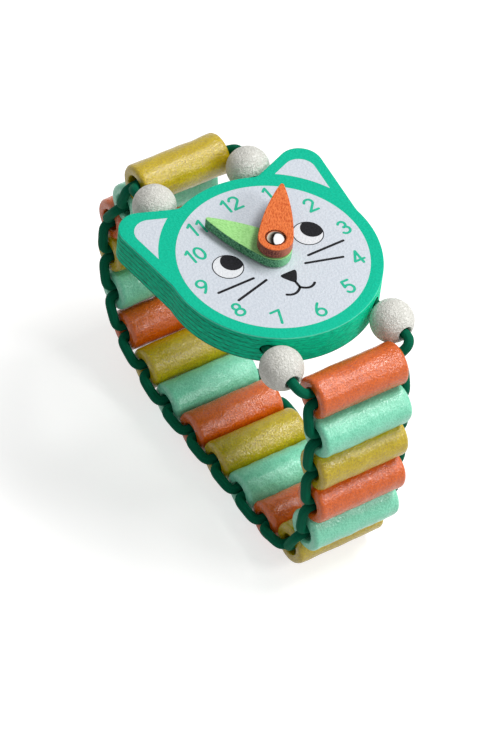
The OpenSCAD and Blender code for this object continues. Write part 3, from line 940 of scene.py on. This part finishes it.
def bead_profile():
    """Distances along the bead and radii: round the mouth of the bore, the
    flat end, the rounded edge, along the side, and back through the bore."""
    half = BEAD_L / 2
    mouth, edge = half - BORE_ROUND, half - BEAD_ROUND
    end = np.vstack([arc((mouth, BORE_R + BORE_ROUND), BORE_ROUND, -90, 0, 7),
                     arc((edge, BEAD_R - BEAD_ROUND), BEAD_ROUND, 0, 90, 9)])
    side = np.linspace((edge, BEAD_R), (-edge, BEAD_R), 60)[1:-1]
    bore = np.linspace((-mouth, BORE_R), (mouth, BORE_R), 10)[1:-1]
    return np.vstack([end, side, end[::-1] * [-1, 1], bore])


def dipped_paint(name, colour, deep):
    """Thick gloss paint: a fine puckered skin, deeper in colour in its pits, over wrinkles and
    slow sags, with small dark specks of painted shade."""
    finish = Finish(name, Specular_IOR_Level=0.55)
    skin = finish.noise(0.4, rough=0.6, warp=0.2).between(0.3, 0.7)
    wrinkle = finish.noise(1.1, stretch=(0.5, 1, 1), warp=0.6)
    # Painted shade: small dark specks that stand for the shade in the skin's pits
    pits = finish.noise(0.24, detail=1).between(0.58, 0.72)
    cloud = finish.noise(5.0)
    share = (skin * 0.45 + wrinkle * 0.2 + cloud * 0.3 + pits * 0.6 - 0.3).limited()
    finish.feed(Base_Color=finish.mix(share, colour, deep),
                Roughness=0.15 + skin * 0.1 + pits * 0.15)
    finish.relief(skin * -0.65 - wrinkle * 0.7, 0.06)
    return finish


bead_paints = {colour: dipped_paint(colour + "_gloss", *tones)
               for colour, tones in BEAD_COLOURS.items()}
bead_nodes = sorted(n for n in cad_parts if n.startswith("bead_"))
bead_middles = []
for seed, node in enumerate(bead_nodes):
    low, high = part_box(node)
    middle = np.array((low + high) * 500)
    bead_middles.append(middle[1:])
    bead = lathe(node + "_look", bead_profile(), middle, (1, 0, 0), 112, closed=True,
                 lumps=BEAD_LUMPS, seed=seed)
    colour = node.split("_")[2]
    bead_paints[colour].on(bead)
    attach(bead, node)
    colour + "_paint"
    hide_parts(node)

# -------------------------------------- Elastic
# One round dark green elastic, 1.8 mm thick, in a fine knitted sleeve. Two
# strands cross in each bead and turn half round each other in its bore.
CORD_R, STRAND_OFF = 0.9, 0.97
BEND_DEPTH, LOOP_RISE, LOOP_POWER = 0.6, 1.0, 0.5
TWIST_HALF = BEAD_L / 2 - BEND_DEPTH
CUT_GAP = 0.3
CUT_SHARE = CUT_GAP / (4 * TWIST_HALF)
# How far the strand is pulled straight at the board's bore, past the balls
# and past the beads, as shares of the ball's radius or of the loop's rise
BORE_PULL, BALL12_PULL, BALL6_PULL, BEAD_PULL = 0.35, 0.4, 0.7, 0.8
CURVE_POINTS, CORD_STEP, EASE_PASSES, CORD_COLUMNS = 40, 0.3, 3, 18
PLAITS, PLAIT_STEP = 8, 0.55
beads = np.array(bead_middles)


def neighbour(k):
    """Bead k in y and z, or the level of the balls past the strap's ends."""
    if k < 1:
        return np.array([DIAL_Y + ball12_y, MID_Z])
    if k > len(beads):
        return np.array([DIAL_Y + ball6_y, MID_Z])
    return beads[k - 1]


def strap_way(k):
    """Direction of the strap at bead k: from the bead before to the next."""
    return unit(neighbour(k + 1) - neighbour(k - 1))


def bore_line(k, side, start, end):
    """A helix of half a turn round the bore of bead k, for a strand that
    comes in at the end with the sign of side."""
    share = np.linspace(start, end, CURVE_POINTS)
    back = -strap_way(k)
    a = math.atan2(back[1], back[0]) - side * math.pi * share
    centre = beads[k - 1]
    return np.stack([side * TWIST_HALF * (1 - 2 * share), centre[0] + STRAND_OFF * np.cos(a),
                     centre[1] + STRAND_OFF * np.sin(a)], 1)


def loop_line(k, side):
    """The outer loop from bead k to the next: an arch with square shoulders
    past the ends of the beads, a half circle whose cosine and sine are
    raised to a power below 1."""
    a = np.pi * np.linspace(0, 1, CURVE_POINTS)[1:-1]
    c = np.cos(a)
    share = (1 - np.sign(c) * np.abs(c) ** LOOP_POWER) / 2
    rise = (BEND_DEPTH + LOOP_RISE) * np.sin(a) ** LOOP_POWER
    start = beads[k - 1] + STRAND_OFF * strap_way(k)
    end = beads[k] - STRAND_OFF * strap_way(k + 1)
    return np.column_stack([side * (TWIST_HALF + rise), start + share[:, None] * (end - start)])


def entry(k, strand):
    """The side where a strand comes into bead k: it changes at each bead."""
    return strand if k % 2 else -strand


def weave_line(first, last, strand):
    """A strand from the middle of one bead to the middle of another: half
    turns in the bores, joined by loops."""
    line = [bore_line(first, entry(first, strand), 0.5 + CUT_SHARE, 1)]
    for k in range(first + 1, last + 1):
        line.append(loop_line(k - 1, -entry(k - 1, strand)))
        line.append(bore_line(k, entry(k, strand), 0, 0.5 - CUT_SHARE if k == last else 1))
    return np.vstack(line)


def pulled(p, q, r, t):
    """A cubic curve from p to t that leaves for q and comes in from r: the
    mean of the four, weighted by the terms of (1 - s + s) cubed."""
    s = np.linspace(0, 1, CURVE_POINTS)[:, None]
    return (1 - s) ** 3 * p + 3 * (1 - s) ** 2 * s * q + 3 * (1 - s) * s ** 2 * r + s ** 3 * t


def case_line(side):
    """The strand from bead 1 past its end, through a ball, the board and the
    other ball, and into bead 18."""
    out = np.array([side * (BEND_DEPTH + LOOP_RISE), 0, 0])
    start = bore_line(1, side, 0.5 - CUT_SHARE, 0)
    finish = bore_line(len(beads), -side, 1, 0.5 + CUT_SHARE)
    way12, way6 = BALL_R * ball12_dir(side), BALL_R * case_dir(side)
    exit12, exit6, mouth = ball12_c(side) + way12, ball6_c(side) + way6, case_mouth(side)
    return np.vstack([
        start,
        pulled(start[-1], start[-1] + out, exit12 + BALL12_PULL * way12, exit12),
        bend(mouth + BORE_PULL * way12, mouth, mouth + BORE_PULL * way6, 12),
        pulled(exit6, exit6 + BALL6_PULL * way6, finish[0] + BEAD_PULL * out, finish[0]),
        finish])


def eased(line):
    """A line with its small corners smoothed and its ends kept: each point
    moves to the mean of itself, counted twice, and its two neighbours."""
    for _ in range(EASE_PASSES):
        line = np.vstack([line[:1], (line[:-2] + 2 * line[1:-1] + line[2:]) / 4, line[-1:]])
    return line


def cord(name, line):
    """A round tube along a line: each ring is CORD_R times (cos a, sin a)
    across the line. The rings' sides are carried on from ring to ring, so
    the sleeve doesn't twist, and its UV map runs in millimetres along the
    cord and once round it."""
    line = eased(spaced(line, CORD_STEP))
    way = unit(np.gradient(line, axis=0))
    side = np.cross(way[0], [0.3, 0.2, 1.0])
    sides = []
    for step in way:
        side = unit(side - (side @ step) * step)
        sides.append(side)
    sides = np.array(sides)
    others = np.cross(way, sides)
    a = np.linspace(0, 2 * math.pi, CORD_COLUMNS, endpoint=False)
    ring = np.cos(a)[:, None] * sides[:, None] + np.sin(a)[:, None] * others[:, None]
    piece = lay_rings(name, line[:, None] + CORD_R * ring)
    # The sleeve's own coordinates, kept as a UV map: the points lie ring by
    # ring, with the two end points last
    run = length_so_far(line)
    mesh = piece.data
    turns = np.arange(CORD_COLUMNS) / CORD_COLUMNS
    along_it = np.concatenate([np.repeat(run, CORD_COLUMNS), run[[0, -1]]])
    round_it = np.concatenate([np.tile(turns, len(run)), [0, 0]])
    loops = np.zeros(len(mesh.loops), int)
    mesh.loops.foreach_get("vertex_index", loops)
    uv = np.stack([along_it[loops], round_it[loops]], 1)
    # A face that crosses the seam gets its low side lifted by one turn
    corners = np.zeros(len(mesh.polygons), int)
    mesh.polygons.foreach_get("loop_total", corners)
    face = np.repeat(np.arange(len(corners)), corners)
    high = np.zeros(len(corners))
    np.maximum.at(high, face, uv[:, 1])
    uv[:, 1] += (high[face] - uv[:, 1] > 0.5)
    mesh.uv_layers.new(name="sleeve").data.foreach_set("uv", uv.ravel())
    return piece


sleeve = Finish("knit_sleeve", Specular_IOR_Level=0.08)
sleeve_uv = sleeve.node("ShaderNodeUVMap", {"uv_map": "sleeve"})
along_cord = sleeve.part(sleeve_uv, "X") * (2 * math.pi / PLAIT_STEP)
round_cord = sleeve.part(sleeve_uv, "Y") * (math.pi * PLAITS)
left_plait = (along_cord + round_cord).math("SINE")
right_plait = (along_cord - round_cord).math("SINE")
knit = (left_plait * right_plait) * 0.5 + 0.5
fuzz = sleeve.noise(0.18, detail=3, rough=0.7)
thread = sleeve.mix((knit * 0.4 + fuzz * 0.6).limited(), paint(0, 76, 54), paint(0, 114, 83))
sleeve.feed(Base_Color=thread, Roughness=0.6 + fuzz * 0.15)
sleeve.relief(knit * 0.5 + fuzz * 0.5, 0.05)

STRETCHES = {f"elastic_case_{name}": (case_line(side), "case") for side, name in SIDES}
for body, first, last in (("side12", 1, 6), ("foot", 6, 13), ("side6", 13, 18)):
    for letter, strand in (("a", -1), ("b", 1)):
        STRETCHES[f"elastic_{body}_{letter}"] = (weave_line(first, last, strand), body)
for node, (line, body) in STRETCHES.items():
    stretch = cord(node + "_look", line)
    sleeve.on(stretch)
    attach(stretch, body)
    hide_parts(node)

# ------------------------------ Floor and light
# A white table under soft studio light: a long lamp overhead to the right
# of the picture, a small low one in front, and an even white room.
FLOOR_HALF, FLOOR_GLOW = 3000.0, 0.66
ROOM_LEVEL = 0.32
WHITE = (1, 1, 1, 1)
LAMP_DISTANCE, LAMP_AIM = 0.8, Vector((0, 0, 0.03))


def sight_rays(nodes):
    """1 for the rays that carry the view, its reflections and what is seen
    through glass, and 0 for those that light the watch."""
    camera, glossy, through = (nodes.node("ShaderNodeLightPath", output=f"Is {ray} Ray")
                               for ray in ("Camera", "Glossy", "Transmission"))
    return (camera + glossy + through).limited()


floor_corners = np.array([(-1, -1, 0), (1, -1, 0), (1, 1, 0), (-1, 1, 0)]) * FLOOR_HALF
floor = lay_mesh("floor", floor_corners, [[0, 1, 2, 3]], smooth=False)
table_white = Finish("table_white", Base_Color=paint(206, 205, 204), Roughness=0.9,
                     Specular_IOR_Level=0.1, Emission_Color=WHITE)
table_white.feed(Emission_Strength=sight_rays(table_white) * FLOOR_GLOW)
table_white.on(floor)

room = bpy.data.worlds.new("room")
bpy.context.scene.world = room
room.use_nodes = True
room_nodes = Nodes(room.node_tree)
room_white = room.node_tree.nodes["Background"]
room_nodes.put(room_white.inputs["Color"], WHITE)
room_nodes.put(room_white.inputs["Strength"],
               sight_rays(room_nodes).math("MAXIMUM", ROOM_LEVEL))


def lamp(name, azimuth, height, length, width, power):
    """A soft lamp that faces the watch, with its length level, from the
    direction (cos a cos h, sin a cos h, sin h)."""
    light = bpy.data.lights.new(name, "AREA")
    light.shape, light.energy = "RECTANGLE", power
    light.size, light.size_y = length, width
    a, h = math.radians(azimuth), math.radians(height)
    away = Vector((math.cos(a) * math.cos(h), math.sin(a) * math.cos(h), math.sin(h)))
    holder = bpy.data.objects.new(name, light)
    bpy.context.scene.collection.objects.link(holder)
    facing = away.to_track_quat("Z", "Y").to_matrix().to_4x4()
    holder.matrix_world = Matrix.Translation(LAMP_AIM + LAMP_DISTANCE * away) @ facing


lamp("key_lamp", azimuth=-16, height=63, length=0.4, width=0.18, power=3.8)
lamp("low_lamp", azimuth=-54, height=34, length=0.26, width=0.26, power=2.0)

bpy.context.scene.view_settings.view_transform = "Standard"
